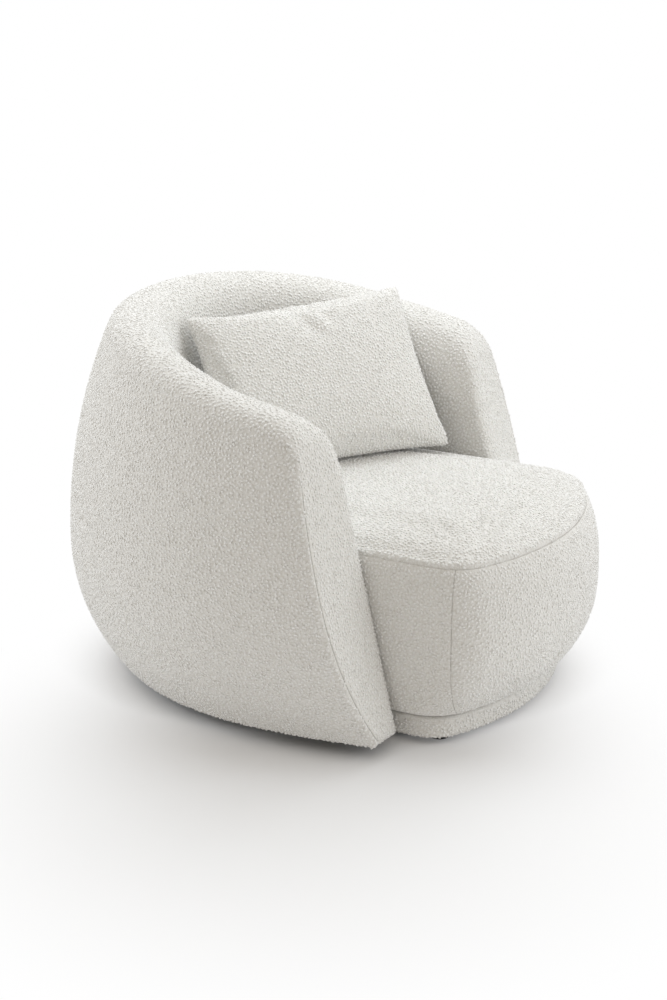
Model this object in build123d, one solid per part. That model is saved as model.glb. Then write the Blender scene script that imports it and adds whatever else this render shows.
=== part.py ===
from build123d import *
import math
import os

# Upholstered armchair. The chair faces -Y and stands on z = 0; all sizes in millimetres.

# Overall size
HEIGHT = 730.0          # rim at the middle of the back
WIDTH = 980.0           # across the arms at their fullest
DEPTH = 1045.0          # back of the shell to front of the seat

# Shell wall: one section that turns round the back from arm to arm
ARM_ANGLE = 105.0       # where both arms end, in degrees from the middle of the back
BACK_REACH = 530.0      # girth ellipse from its widest line to the back
FRONT_REACH = 717.0     # the slower ellipse that carries the arms forward
SHELL_BOTTOM = 25.0     # underside of the shell above the floor
ARM_RIM = 616.0         # rim height at the arm fronts
RIM_FALL = 2.5          # power of the rim's fall from back to arms
ARM_LEAN = 14.0         # the arm fronts lean back by this at the top, degrees
ARM_YAW = 16.0          # and turn outwards by this from the girth's normal, degrees
BLEND = 1.6             # power of the change of section from back to arm
STATIONS = 35           # sections that each layer of the wall runs through
CROWDING = 1.3          # how much closer they stand towards the arms
GIRTH = (265.0, 316.0)  # height of the fullest line: at the back, at the arms
TUCK = (99.0, 88.0)     # how far the bottom edge is drawn in from the girth
TOP_IN = (91.0, 33.0)   # how far the rim stands in from the girth
RIM_RADIUS = (50.0, 64.5)

# Well that the seat fills, at and below the seat line
WELL_HALF = 308.0
WELL_CENTRE_Y = -12.0
SEAT_LINE = 345.0

# Layers of the wall, measured in from the face of the cloth
COVER = 4.0
GAP = 0.8               # room between neighbouring pieces
LAYER_GAP = 1.6         # room between the wall's layers
RIM_GAP = 1.2           # room at the rim between the inside's layers and the outside's
WADDING = 14.0
BOARD = 4.0
FRONT_PAD = 8.0         # pad behind each arm's front panel
FRONT_ROUND = ((0.0, 0.0), (0.5, 1.5), (0.85, 5.0), (1.0, 11.0))   # its rounded edge: share of rise, inset
FOAM_JOINT = 55.0       # angle where the arms' foam meets the back's, degrees
PLY = 18.0
RIB_HALF = 0.8          # half of a rib's thickness, as an angle round the back, degrees
BASE_OUT = 10.0         # base board's edge from the bottom edge of the cloth
BASE_IN = 19.0          # and from the wall of the well

# Seat drum
SEAT_HALF = (300.0, 305.0, 298.0)      # half width at the crease, the girth and the seam
SEAT_FRONT_IN = (64.0, 0.0, 28.0)      # how far the front stands in at those lines
SEAT_Z = (59.0, 215.0, 352.0)          # their heights
SEAT_CORNER = 85.0
SEAT_FRONT_RADIUS = 514.0
SEAT_CROWN = 46.0                      # rise of the top above the seam
UPRIGHT_SEAM_Y = -388.0

# Plinth and feet
PLINTH_IN = 19.0        # plinth stands in from the seat's crease
PLINTH_BOTTOM = 15.0
PLINTH_RING = 9.5       # thickness of the flat ring over the feet
FOOT_RADIUS = 20.0

# Chassis bars
BAR_WIDTH = 50.0
BAR_BOTTOM = 26.0
BAR_THICK = 5.6
CROSS_BARS = ((-110.0, 372.0), (130.0, 362.0))   # y of each cross bar and its half length
BACK_BAR = (190.0, 402.0)                        # y range of the bar to the back
BOLT_RADIUS = 3.0

# Scatter cushion
CUSHION_WIDTH = 472.0
CUSHION_HEIGHT = 340.0
CUSHION_THICK = 124.0
CUSHION_EDGE = 10.0
CUSHION_CENTRE = (95.0, 77.0, 548.0)
CUSHION_YAW = -34.6
CUSHION_LEAN = 35.9
CUSHION_DRAWN_IN = 7.0


def between(pair, share):
    """A size that goes from its value at the back to its value at the arms."""
    return pair[0] + (pair[1] - pair[0]) * share**BLEND


class WallSection:
    """The shell wall cut square to its run, at an angle round the back.

    Local u points outwards and local v up the leaning section, both from the girth.
    """

    def __init__(self, angle):
        turn = math.radians(angle)
        share = abs(angle) / ARM_ANGLE
        reach = BACK_REACH if abs(angle) <= 90 else FRONT_REACH
        point = Vector(WIDTH / 2 * math.sin(turn), DEPTH / 2 - BACK_REACH + reach * math.cos(turn), 0)
        normal = Vector(math.sin(turn) * 2 / WIDTH, math.cos(turn) / reach, 0).normalized()
        yaw = math.copysign(ARM_YAW * share**2, angle)
        outward = normal.rotate(Axis.Z, yaw)
        onward = outward.cross(Vector(0, 0, 1))
        lean = math.radians(ARM_LEAN * share**2)
        forward = onward if angle >= 0 else onward * -1
        upward = Vector(0, 0, math.cos(lean)) - forward * math.sin(lean)

        self.girth = between(GIRTH, share)
        self.plane = Plane(
            origin=point + Vector(0, 0, self.girth), x_dir=outward, z_dir=outward.cross(upward)
        )
        self.stretch = 1 / math.cos(lean)
        rim_top = HEIGHT - (HEIGHT - ARM_RIM) * share**RIM_FALL

        tuck = between(TUCK, share)
        bottom = self.v(SHELL_BOTTOM)
        self.low_radius = (tuck**2 + bottom**2) / (2 * tuck)
        self.tuck = tuck

        self.rim = between(RIM_RADIUS, share)
        self.rim_u = -(between(TOP_IN, share) + self.rim)
        self.rim_v = self.v(rim_top) - self.rim
        reach_in = self.rim_u**2 + self.rim_v**2 - self.rim**2
        self.up_radius = reach_in / (-2 * (self.rim_u + self.rim))
        self.rim_start = math.atan2(self.rim_v, self.rim_u + self.up_radius)

        self.thick = self.thickness(point, outward)
        self.seat_v = self.v(SEAT_LINE)
        away = Vector(-self.thick - self.rim_u, self.seat_v - self.rim_v, 0)
        slope = math.atan2(away.Y, away.X) % (2 * math.pi)
        self.rim_end = slope - math.acos(self.rim / away.length)

    def v(self, height):
        """Local v of a height above the floor."""
        return (height - self.girth) * self.stretch

    def thickness(self, point, outward):
        """How far in from the girth the wall of the well is: straight sides and a round back."""
        arm = point - Vector(0, WELL_CENTRE_Y, 0)
        along = arm.dot(outward)
        depth = along - math.sqrt(max(along**2 - arm.dot(arm) + WELL_HALF**2, 0))
        if point.Y - depth * outward.Y >= WELL_CENTRE_Y:
            return depth
        return (abs(point.X) - WELL_HALF) / abs(outward.X)

    def low(self, inset, v):
        return (-self.low_radius + math.sqrt((self.low_radius - inset) ** 2 - v**2), v)

    def up(self, inset, angle):
        radius = self.up_radius - inset
        return (-self.up_radius + radius * math.cos(angle), radius * math.sin(angle))

    def over(self, inset, angle):
        radius = self.rim - inset
        return (self.rim_u + radius * math.cos(angle), self.rim_v + radius * math.sin(angle))

    def outer_edges(self, inset, bottom):
        """The outside, from a height up to where the rim begins."""
        start = self.v(bottom)
        return [
            ThreePointArc(self.low(inset, start), self.low(inset, start / 2), (-inset, 0)),
            ThreePointArc((-inset, 0), self.up(inset, self.rim_start / 2), self.up(inset, self.rim_start)),
        ]

    def rim_edge(self, inset, gap=0.0):
        """Over the rim, from a gap beyond the outside's end to the start of the inside."""
        start = self.rim_start + gap / self.rim
        middle = (start + self.rim_end) / 2
        return ThreePointArc(self.over(inset, start), self.over(inset, middle), self.over(inset, self.rim_end))

    def inner_points(self, insets, bottom):
        """The inside from the rim's end: at the rim, at the seat line and at the bottom."""
        at_rim, at_seat, at_bottom = insets
        return [
            self.over(at_rim, self.rim_end),
            (-self.thick + at_seat, self.seat_v),
            (-self.thick + at_bottom, self.v(bottom)),
        ]

    def face(self, edges):
        return self.plane * Face(Wire(edges))


def closed(edges):
    """Edges joined end to start by straight lines where they leave a space."""
    run = []
    for edge, after in zip(edges, edges[1:] + edges[:1]):
        run.append(edge)
        if (edge @ 1 - after @ 0).length > 1e-6:
            run.append(Line(edge @ 1, after @ 0))
    return run


def turned(edges):
    """The same edges, run the other way."""
    return [edge.reversed() for edge in reversed(edges)]


def lines(points):
    return [Line(a, b) for a, b in zip(points, points[1:])]


def outer_layer(start, end, bottom):
    """Section of a layer on the outside of the wall, between two insets."""
    def section(wall):
        edges = wall.outer_edges(start, bottom) + turned(wall.outer_edges(end, bottom))
        return wall.face(closed(edges))
    return section


def inner_layer(front, rear, bottom):
    """Section of a layer over the rim and down the inside; front and rear give insets at three heights."""
    def section(wall):
        near = [wall.rim_edge(front[0], RIM_GAP)] + lines(wall.inner_points(front, bottom))
        far = [wall.rim_edge(rear[0], RIM_GAP)] + lines(wall.inner_points(rear, bottom))
        return wall.face(closed(near + turned(far)))
    return section


def board_layer(outer, inner, low, high):
    """Section of a flat layer across the wall, between two heights."""
    def section(wall):
        left, right = -wall.tuck - outer, -wall.thick + inner
        bottom, top = wall.v(low), wall.v(high)
        corners = [(left, bottom), (right, bottom), (right, top), (left, top)]
        return wall.face(closed(lines(corners)))
    return section


def swept(section):
    """A layer of the wall from arm to arm, through sections that stand closer together at the arms."""
    slow = BACK_REACH / FRONT_REACH
    end = 90 + (ARM_ANGLE - 90) / slow
    sections = []
    for index in range(STATIONS):
        place = 2 * index / (STATIONS - 1) - 1
        run = end * math.sin(CROWDING * place) / math.sin(CROWDING)
        angle = run if abs(run) <= 90 else math.copysign(90 + (abs(run) - 90) * slow, run)
        sections.append(section(WallSection(angle)))
    return loft(sections)


def save(shape, node):
    export_step(shape, f"parts/{node}.step")


def slab(centre, size):
    return Pos(*centre) * Box(*size)


def seat_outline(half, front, corner, bow, z):
    """Plan of the seat at a height: bowed front, round corners, straight sides and a round back."""
    bow_y = front + bow
    corner_x = half - corner
    corner_y = bow_y - math.sqrt((bow - corner) ** 2 - corner_x**2)
    meet = Vector(corner_x, corner_y - bow_y, 0).normalized() * bow + Vector(0, bow_y, 0)
    diagonal = Vector(corner_x, corner_y - bow_y, 0).get_angle(Vector(1, 0, 0)) / 2
    middle = Vector(corner_x, corner_y, 0) + Vector(corner, 0, 0).rotate(Axis.Z, -diagonal)
    back = WELL_CENTRE_Y + half
    haunch = (half * math.sqrt(0.5), WELL_CENTRE_Y + half * math.sqrt(0.5))
    edges = [
        Line((-half, WELL_CENTRE_Y), (-half, corner_y)),
        ThreePointArc((-half, corner_y), (-middle.X, middle.Y), (-meet.X, meet.Y)),
        ThreePointArc((-meet.X, meet.Y), (0, front), (meet.X, meet.Y)),
        ThreePointArc((meet.X, meet.Y), (middle.X, middle.Y), (half, corner_y)),
        Line((half, corner_y), (half, WELL_CENTRE_Y)),
        ThreePointArc((half, WELL_CENTRE_Y), haunch, (0, back)),
        ThreePointArc((0, back), (-haunch[0], haunch[1]), (-half, WELL_CENTRE_Y)),
    ]
    return Pos(0, 0, z) * Face(Wire(edges))


def seat_side(z, inset=0.0):
    """Plan of the seat between its crease and its seam, bulging at the girth."""
    low, girth, seam = SEAT_Z
    if z < girth:
        share, ends = ((girth - z) / (girth - low)) ** 2.4, 0
    else:
        share, ends = ((z - girth) / (seam - girth)) ** 3, 2
    half = SEAT_HALF[1] + (SEAT_HALF[ends] - SEAT_HALF[1]) * share
    front = -DEPTH / 2 + SEAT_FRONT_IN[ends] * share
    return seat_outline(
        half - inset, front + inset, SEAT_CORNER - inset, SEAT_FRONT_RADIUS - inset, z
    )


def seat_band(inset=0.0):
    """Solid drum from crease to seam."""
    low, girth, seam = SEAT_Z
    levels = [low, low + 22, low + 52, low + 95, girth, girth + 50, seam - 45, seam - 18, seam]
    return loft([seat_side(z, inset) for z in levels])


def seat_crown(inset=0.0):
    """Solid crown over the seam, rounded at its shoulder and flattening to the middle."""
    draws = (0.0, 6.0, 20.0, 50.0, 90.0, 135.0, 185.0)
    shares = (0.0, 0.26, 0.5, 0.76, 0.91, 0.98, 1.0)
    base = SEAT_Z[2] + GAP
    sections = []
    for draw, share in zip(draws, shares):
        draw_in = draw + inset
        z = base + max(SEAT_CROWN * share - inset, 0)
        half = SEAT_HALF[2] - draw_in
        front = -DEPTH / 2 + SEAT_FRONT_IN[2] + draw_in
        corner = SEAT_CORNER - 0.3 * draw_in
        sections.append(seat_outline(half, front, corner, SEAT_FRONT_RADIUS - 0.5 * draw_in, z))
    return loft(sections)


def plinth_prism(inset, low, high):
    """Upright solid on the seat's crease outline, drawn in by an inset."""
    outline = seat_outline(
        SEAT_HALF[0] - inset,
        -DEPTH / 2 + SEAT_FRONT_IN[0] + inset,
        SEAT_CORNER - min(inset, SEAT_CORNER - 12),
        SEAT_FRONT_RADIUS - inset,
        low,
    )
    return extrude(outline, high - low, dir=(0, 0, 1))


def crease_point(inset, x):
    """Point on the bowed front of the crease outline, drawn in by an inset."""
    bow_y = -DEPTH / 2 + SEAT_FRONT_IN[0] + SEAT_FRONT_RADIUS
    return (x, bow_y - math.sqrt((SEAT_FRONT_RADIUS - inset) ** 2 - x**2))


def cushion_solid(inset=0.0):
    """Knife-edged pillow: crowned both ways, with its four sides drawn in between the corners."""
    half = CUSHION_WIDTH / 2 - inset
    sections = []
    for share in (-1.0, -0.9, -0.7, -0.4, 0.0, 0.4, 0.7, 0.9, 1.0):
        fullness = (1 - abs(share) ** 2.2) ** 0.8
        edge = CUSHION_EDGE / 2 - inset
        belly = edge + (CUSHION_THICK - CUSHION_EDGE) / 2 * fullness + 1.0
        top = CUSHION_HEIGHT / 2 - inset - CUSHION_DRAWN_IN * (1 - share**2)
        edges = [
            ThreePointArc((-top, edge), (0, belly), (top, edge)),
            Line((top, edge), (top, -edge)),
            ThreePointArc((top, -edge), (0, -belly), (-top, -edge)),
            Line((-top, -edge), (-top, edge)),
        ]
        plane = Plane(origin=(half * share, 0, 0), x_dir=(0, 1, 0), z_dir=(1, 0, 0))
        sections.append(plane * Face(Wire(edges)))
    pillow = loft(sections)
    chord = CUSHION_HEIGHT / 2
    radius = (chord**2 + CUSHION_DRAWN_IN**2) / (2 * CUSHION_DRAWN_IN)
    for side in (-1, 1):
        scoop = Cylinder(radius, CUSHION_THICK)
        pillow -= Pos(side * (half + radius - CUSHION_DRAWN_IN), 0, 0) * scoop
    return pillow


def cushion_plane():
    """Where the cushion leans: width along x, height along y, front face along z."""
    yaw, lean = math.radians(CUSHION_YAW), math.radians(CUSHION_LEAN)
    facing = Vector(math.sin(yaw), -math.cos(yaw), 0)
    front = facing * math.cos(lean) + Vector(0, 0, math.sin(lean))
    return Plane(
        origin=CUSHION_CENTRE, x_dir=(math.cos(yaw), math.sin(yaw), 0), z_dir=front
    )


def screw(head_radius, shank_radius, length, room=0.0):
    """Countersunk screw pointing up, with its head's face at z = 0, or the hole for it with some room."""
    head = head_radius - shank_radius
    shank = Pos(0, 0, (length + room) / 2) * Cylinder(shank_radius + room, length + room)
    sink = Pos(0, 0, head / 2) * Cone(head_radius + room, shank_radius + room, head)
    if room:
        sink += Pos(0, 0, -3) * Cylinder(head_radius + room, 6)
    return shank + sink


os.makedirs("parts", exist_ok=True)

# Wall layers: insets from the face of the cloth, at the rim, at the seat line and at the bottom
wadding_start = COVER + LAYER_GAP
wadding_end = wadding_start + WADDING
board_start = wadding_end + LAYER_GAP
rib_outside = board_start + BOARD + 2 * LAYER_GAP
foam_front = (COVER + LAYER_GAP,) * 3
foam_rear = (22.0, 52.0, 14.0)
strap_front = (23.5, 53.5)
strap_rear = (25.0, 55.0)
rib_inside = (30.0, 60.0, 24.0)
base_low = BAR_BOTTOM + BAR_THICK + 0.4
base_high = base_low + PLY
above_base = base_high + GAP
rib_angles = (0.0, -25.0, 25.0, -50.0, 50.0, -75.0, 75.0, -89.0, 89.0, -103.6, 103.6)

# Feet: turned plastic glides under the plinth ring, each with a sunk screw
foot_places = [
    (side * x, y) for side in (-1, 1) for x, y in ((238.0, -340.0), (250.0, -60.0), (150.0, 186.0))
]
foot_boss = PLINTH_BOTTOM + 0.9
foot = Pos(0, 0, 7.0) * Cone(FOOT_RADIUS - 2, FOOT_RADIUS, 14.0)
foot += Pos(0, 0, (14.0 + foot_boss) / 2) * Cylinder(8.0, foot_boss - 14.0)
foot = fillet(foot.edges().group_by(Axis.Z)[0], 1.5)
foot_screw_place = Pos(0, 0, 5.0)
foot_screw = foot_screw_place * screw(4.6, 2.1, 19.0)
foot_screw_hole = foot_screw_place * screw(4.6, 2.1, 19.0, 0.2)
foot -= foot_screw_hole
save(Compound(children=[Pos(x, y, 0) * foot for x, y in foot_places]), "feet")
save(Compound(children=[Pos(x, y, 0) * foot_screw for x, y in foot_places]), "foot_screws")

# Chassis bars: steel flats from under the shell, through the plinth's hoop, to the other side
bar_z = BAR_BOTTOM + BAR_THICK / 2
bars = [slab((0, y, bar_z), (2 * reach, BAR_WIDTH, BAR_THICK)) for y, reach in CROSS_BARS]
back_length = BACK_BAR[1] - BACK_BAR[0]
bars.append(slab((0, sum(BACK_BAR) / 2, bar_z), (BAR_WIDTH, back_length, BAR_THICK)))
bar_room = [
    slab((0, y, bar_z), (2 * reach + 1, BAR_WIDTH + 1, BAR_THICK + 1)) for y, reach in CROSS_BARS
]
bar_room.append(slab((0, sum(BACK_BAR) / 2, bar_z), (BAR_WIDTH + 1, back_length + 1, BAR_THICK + 1)))
bolt_places = [
    (side * (reach - 22), y + pair)
    for y, reach in CROSS_BARS for side in (-1, 1) for pair in (-18, 18)
]
bolt_places += [(pair, BACK_BAR[1] - 40) for pair in (-18, 18)]
bolt_hole = Pos(0, 0, 50) * Cylinder(BOLT_RADIUS + 0.2, 100)
bolt_holes = [Pos(x, y, 0) * bolt_hole for x, y in bolt_places]
bolt_top = base_high + 0.1
washer = Pos(0, 0, bolt_top + 0.75) * (Cylinder(8.0, 1.5) - Cylinder(BOLT_RADIUS + 0.3, 1.5))
head_low = bolt_top + 1.6
bolt = extrude(Pos(0, 0, head_low) * RegularPolygon(5.77, 6), 4.0)
bolt_length = head_low - BAR_BOTTOM - 0.2
bolt += Pos(0, 0, head_low - bolt_length / 2) * Cylinder(BOLT_RADIUS, bolt_length)
save(Compound(children=[bar - bolt_holes for bar in bars]), "chassis_bars")
save(Compound(children=[Pos(x, y, 0) * bolt for x, y in bolt_places]), "chassis_bolts")
save(Compound(children=[Pos(x, y, 0) * washer for x, y in bolt_places]), "chassis_washers")

# Plinth: flat ring, upright hoop, two rails along it, cloth band and underside cloth
ring_low = PLINTH_BOTTOM + 1.0
ring_high = ring_low + PLINTH_RING
hoop_in = PLINTH_IN + COVER + 0.3
hoop_thick = 24.0
plinth_top = SEAT_Z[0] - 0.6
seat_screw_in = hoop_in + hoop_thick / 2 + 4
screw_ring = SEAT_HALF[0] - seat_screw_in
seat_screw_places = [(side * screw_ring, y) for side in (-1, 1) for y in (-230.0, -20.0)]
seat_screw_places += [crease_point(seat_screw_in, x) for x in (-130.0, 0.0, 130.0)]
seat_screw_places += [
    (screw_ring * math.sin(turn), WELL_CENTRE_Y + screw_ring * math.cos(turn))
    for turn in (-0.7, 0.0, 0.7)
]
seat_screw_low = ring_high + 9.0
seat_screw = screw(4.6, 2.1, 58.0)
seat_screw_holes = [Pos(x, y, seat_screw_low) * screw(4.6, 2.1, 58.0, 0.2) for x, y in seat_screw_places]
foot_holes = [Pos(x, y, 0) * foot_screw_hole for x, y in foot_places]
boss_holes = [Pos(x, y, PLINTH_BOTTOM) * Cylinder(8.5, 8) for x, y in foot_places]

plinth_ring = plinth_prism(hoop_in, ring_low, ring_high) - plinth_prism(95.0, ring_low, ring_high)
plinth_hoop = plinth_prism(hoop_in, ring_high + 0.2, plinth_top)
plinth_hoop -= plinth_prism(hoop_in + hoop_thick, ring_high + 0.2, plinth_top)
plinth_hoop -= seat_screw_holes
plinth_band = plinth_prism(PLINTH_IN, PLINTH_BOTTOM, plinth_top)
plinth_band -= plinth_prism(PLINTH_IN + COVER, PLINTH_BOTTOM, plinth_top)
for room in bar_room:
    plinth_hoop -= room
    plinth_band -= room
rail_room = plinth_prism(hoop_in + hoop_thick + 0.5, base_low, plinth_top)
rails = [slab((side * 110, -90, 45), (40, 640, 60)) & rail_room for side in (-1, 1)]
save(plinth_ring - foot_holes, "plinth_ring")
save(plinth_hoop, "plinth_hoop")
save(Compound(children=rails), "plinth_rails")
save(plinth_band, "plinth_band")
save(plinth_prism(PLINTH_IN + COVER, PLINTH_BOTTOM - 0.4, ring_low - 0.3) - boss_holes, "underside_cloth")

# Seat: hoop, webbing, pad round the hoop, foam block, crowned topper and cover
hoop_low = SEAT_Z[0] + GAP
hoop_high = hoop_low + 60.0
strap_thick = 2.0
seat_hoop = plinth_prism(30.0, hoop_low, hoop_high) - plinth_prism(54.0, hoop_low, hoop_high)
strap_z = hoop_high + 0.2 + strap_thick / 2
strap_room = plinth_prism(31.0, hoop_high, hoop_high + 5)
straps = [
    slab((0, y, strap_z), (700, 60, strap_thick)) & strap_room for y in (-355, -265, -175, -85, 5, 95, 180)
]
block_low = strap_z + strap_thick / 2 + 0.3
drum = seat_band(COVER + GAP)
pad_room = slab((0, 0, (hoop_low + block_low) / 2), (1200, 1200, block_low - hoop_low - 0.4))
block_room = slab((0, 0, block_low + 500), (1200, 1200, 1000))
save(seat_hoop - seat_screw_holes, "seat_hoop")
save(Compound(children=[Pos(x, y, seat_screw_low) * seat_screw for x, y in seat_screw_places]), "seat_screws")
save(Compound(children=straps), "seat_webbing")
save((drum & pad_room) - plinth_prism(29.0, 0, 400), "seat_side_pad")
save(drum & block_room, "seat_foam")
save(seat_crown(COVER + 3.0), "seat_topper")
save(seat_crown() - seat_crown(COVER), "seat_top_cover")
band_skin = seat_band() - seat_band(COVER)
front_room = slab((0, UPRIGHT_SEAM_Y - 500.2, 200), (1200, 1000, 600))
save(band_skin & front_room, "seat_front_band")
for side, name in ((-1, "right"), (1, "left")):
    side_room = slab((side * 500.2, UPRIGHT_SEAM_Y + 500.2, 200), (1000, 1000, 600))
    save(band_skin & side_room, f"{name}_seat_side_band")

# Shell frame: base board, upright ribs screwed to it, rim rail, bent board outside, straps inside
base_board = swept(board_layer(BASE_OUT, BASE_IN, base_low, base_high))


def rib_profile(wall, bottom):
    edges = wall.outer_edges(rib_outside, bottom)
    edges.append(wall.rim_edge(rib_inside[0]))
    edges += lines(wall.inner_points(rib_inside, bottom))
    return wall.face(closed(edges))


def rail_profile(room):
    def section(wall):
        left, right = wall.rim_u - 9 - room, wall.rim_u + 9 + room
        low, high = wall.rim_v - 22 - room, wall.rim_v + 8 + room
        return wall.face(closed(lines([(left, low), (right, low), (right, high), (left, high)])))
    return section


def strap_profile(start, end):
    """Section of a strap on the inside of the ribs, between two shares of the way down from the rim."""
    def section(wall):
        near = wall.inner_points((*strap_front, 0), SHELL_BOTTOM)[:2]
        far = wall.inner_points((*strap_rear, 0), SHELL_BOTTOM)[:2]
        corners = [Line(*near) @ start, Line(*near) @ end, Line(*far) @ end, Line(*far) @ start]
        return wall.face(closed(lines(corners)))
    return section


rim_room = swept(rail_profile(0.4))
ribs = []
rib_screws = []
rib_screw_holes = []
for angle in rib_angles:
    wall = WallSection(angle)
    faces = [rib_profile(WallSection(angle + turn), above_base) for turn in (-RIB_HALF, RIB_HALF)]
    rib = loft(faces, ruled=True) - rim_room
    middle = (-wall.tuck - BASE_OUT - wall.thick + BASE_IN) / 2
    for shift in (-12, 12):
        seat = wall.plane.from_local_coords((middle + shift, wall.v(base_low + 0.3), 0))
        axis = Plane(origin=seat, x_dir=wall.plane.x_dir, z_dir=wall.plane.y_dir)
        rib_screws.append(axis * screw(4.0, 2.0, 48.0))
        rib_screw_holes.append(axis * screw(4.0, 2.0, 48.0, 0.2))
        rib -= rib_screw_holes[-1]
    ribs.append(rib)
save(base_board - bolt_holes - rib_screw_holes, "shell_base_board")
save(Compound(children=ribs), "shell_ribs")
save(Compound(children=rib_screws), "rib_screws")
save(swept(rail_profile(0.0)), "rim_rail")
save(swept(outer_layer(board_start, board_start + BOARD, above_base)), "shell_outer_board")
strap_rows = ((0.2, 0.36), (0.48, 0.64), (0.76, 0.92))
save(
    Compound(children=[swept(strap_profile(*row)) for row in strap_rows]), "shell_webbing"
)

# Shell padding: wadding outside, thick foam inside in three lengths, a pad on each arm front
save(swept(outer_layer(wadding_start, wadding_end, above_base)), "shell_wadding")
foam = swept(inner_layer(foam_front, foam_rear, SHELL_BOTTOM + 1.8)) - bar_room
for side, name in ((-1, "right_arm_foam"), (1, "left_arm_foam")):
    joint = WallSection(side * FOAM_JOINT).plane
    ahead = Keep.TOP if side > 0 else Keep.BOTTOM
    arm_side = slab((side * 600, 0, 400), (1200, 1600, 1000))
    save(split(foam & arm_side, joint.offset(side * 0.1), ahead), name)
    foam -= split(arm_side, joint.offset(-side * 0.1), ahead)
save(foam, "back_foam")

# Shell cover: outer and inner cloth, a cap over each arm front, and cloth under the wall
save(swept(outer_layer(0.0, COVER, SHELL_BOTTOM)), "shell_outer_cover")
inner_cover = swept(inner_layer((0.0,) * 3, (COVER,) * 3, SHELL_BOTTOM))
save(inner_cover - bar_room, "shell_inner_cover")
save(swept(board_layer(8.0, 5.5, SHELL_BOTTOM + 0.1, SHELL_BOTTOM + 0.9)), "shell_underside_cloth")


def end_profile(wall, inset):
    edges = wall.outer_edges(inset, SHELL_BOTTOM + inset)
    edges.append(wall.rim_edge(inset))
    edges += lines(wall.inner_points((inset,) * 3, SHELL_BOTTOM + inset))
    return wall.face(closed(edges))


def front_form(wall, ahead, inset, rise):
    """Padded arm front, whose edges round over to its face."""
    faces = [
        Location(tuple(ahead * rise * share)) * end_profile(wall, inset + draw)
        for share, draw in FRONT_ROUND
    ]
    return loft(faces)


for side, name in ((-1, "right"), (1, "left")):
    wall = WallSection(side * ARM_ANGLE)
    ahead = wall.plane.z_dir * side
    start = Location(tuple(ahead * 0.3))
    pad = front_form(wall, ahead, COVER + 0.4, FRONT_PAD - 0.4)
    hollow = front_form(wall, ahead, COVER, FRONT_PAD)
    cap = front_form(wall, ahead, 0.0, FRONT_PAD + COVER) - hollow
    save(start * pad, f"{name}_arm_front_pad")
    save(start * cap, f"{name}_arm_front_cover")

# Scatter cushion: filling and two cover halves, leaning in the far corner of the back
place = cushion_plane()
case = cushion_solid() - cushion_solid(2.0)
for side, name in ((1, "front"), (-1, "back")):
    half_room = slab((0, 0, side * 100.1), (800, 800, 200))
    save(place * (case & half_room), f"cushion_{name}_cover")
save(place * cushion_solid(2.3), "cushion_filling")
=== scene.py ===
import math

import bmesh
import bpy
import numpy as np
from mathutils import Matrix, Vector


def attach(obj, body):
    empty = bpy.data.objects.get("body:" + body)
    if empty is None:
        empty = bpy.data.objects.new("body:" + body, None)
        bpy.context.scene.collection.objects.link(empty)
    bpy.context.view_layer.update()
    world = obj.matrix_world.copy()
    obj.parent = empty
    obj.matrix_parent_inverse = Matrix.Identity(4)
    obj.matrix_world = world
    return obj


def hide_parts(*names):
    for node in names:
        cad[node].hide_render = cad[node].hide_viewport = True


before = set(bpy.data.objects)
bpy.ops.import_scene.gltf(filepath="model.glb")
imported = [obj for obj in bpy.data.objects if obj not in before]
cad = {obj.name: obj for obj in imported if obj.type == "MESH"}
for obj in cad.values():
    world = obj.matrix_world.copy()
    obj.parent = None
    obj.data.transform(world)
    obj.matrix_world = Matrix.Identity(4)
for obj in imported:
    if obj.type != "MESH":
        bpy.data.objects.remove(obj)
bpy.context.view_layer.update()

scene = bpy.context.scene


# Feet: six turned glides in matt black plastic, each screwed up into the plinth ring.
# From a standing eye only a sliver of the front ones shows, in the gap under the plinth.

class Shade:
    """A socket of a node tree that takes part in plain arithmetic: each operator adds a Math node."""

    def __init__(self, net, socket):
        self.net = net
        self.socket = socket

    def math(self, operation, first, second):
        return self.net.node("ShaderNodeMath", {"operation": operation}, {0: first, 1: second})

    def __add__(self, other):
        return self.math("ADD", self, other)

    def __radd__(self, other):
        return self.math("ADD", other, self)

    def __rsub__(self, other):
        return self.math("SUBTRACT", other, self)

    def __mul__(self, other):
        return self.math("MULTIPLY", self, other)

    def __truediv__(self, other):
        return self.math("DIVIDE", self, other)

    def __rtruediv__(self, other):
        return self.math("DIVIDE", other, self)


class Nodes:
    """A node tree, shader or geometry, that grows by one call for each node."""

    def __init__(self, tree):
        self.tree = tree

    def node(self, kind, settings=None, inputs=None, out=0):
        made = self.tree.nodes.new(kind)
        for name, value in (settings or {}).items():
            setattr(made, name, value)
        for key, value in (inputs or {}).items():
            sources = value if isinstance(value, list) else [value]
            if isinstance(sources[0], Shade):
                for source in sources:
                    self.tree.links.new(source.socket, made.inputs[key])
            else:
                made.inputs[key].default_value = value
        return Shade(self, made.outputs[out]) if len(made.outputs) else made

    def mix(self, share, first, second):
        """A colour between two colours."""
        inputs = {0: share, 6: first, 7: second}
        return self.node("ShaderNodeMix", {"data_type": "RGBA"}, inputs, out=2)

    def place(self):
        return self.node("ShaderNodeTexCoord", out="Object")

    def noise(self, place, size, detail=2.0):
        inputs = {"Vector": place, "Scale": 1 / size, "Detail": detail}
        return self.node("ShaderNodeTexNoise", None, inputs)

    def stretched(self, place, scale):
        return self.node("ShaderNodeMapping", None, {"Vector": place, "Scale": scale})

    def raised(self, height, depth, strength=1.0):
        inputs = {"Height": height, "Distance": depth, "Strength": strength}
        return self.node("ShaderNodeBump", None, inputs)

    def surface(self, inputs):
        shader = self.node("ShaderNodeBsdfPrincipled", None, inputs)
        self.node("ShaderNodeOutputMaterial", None, {"Surface": shader})


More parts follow.
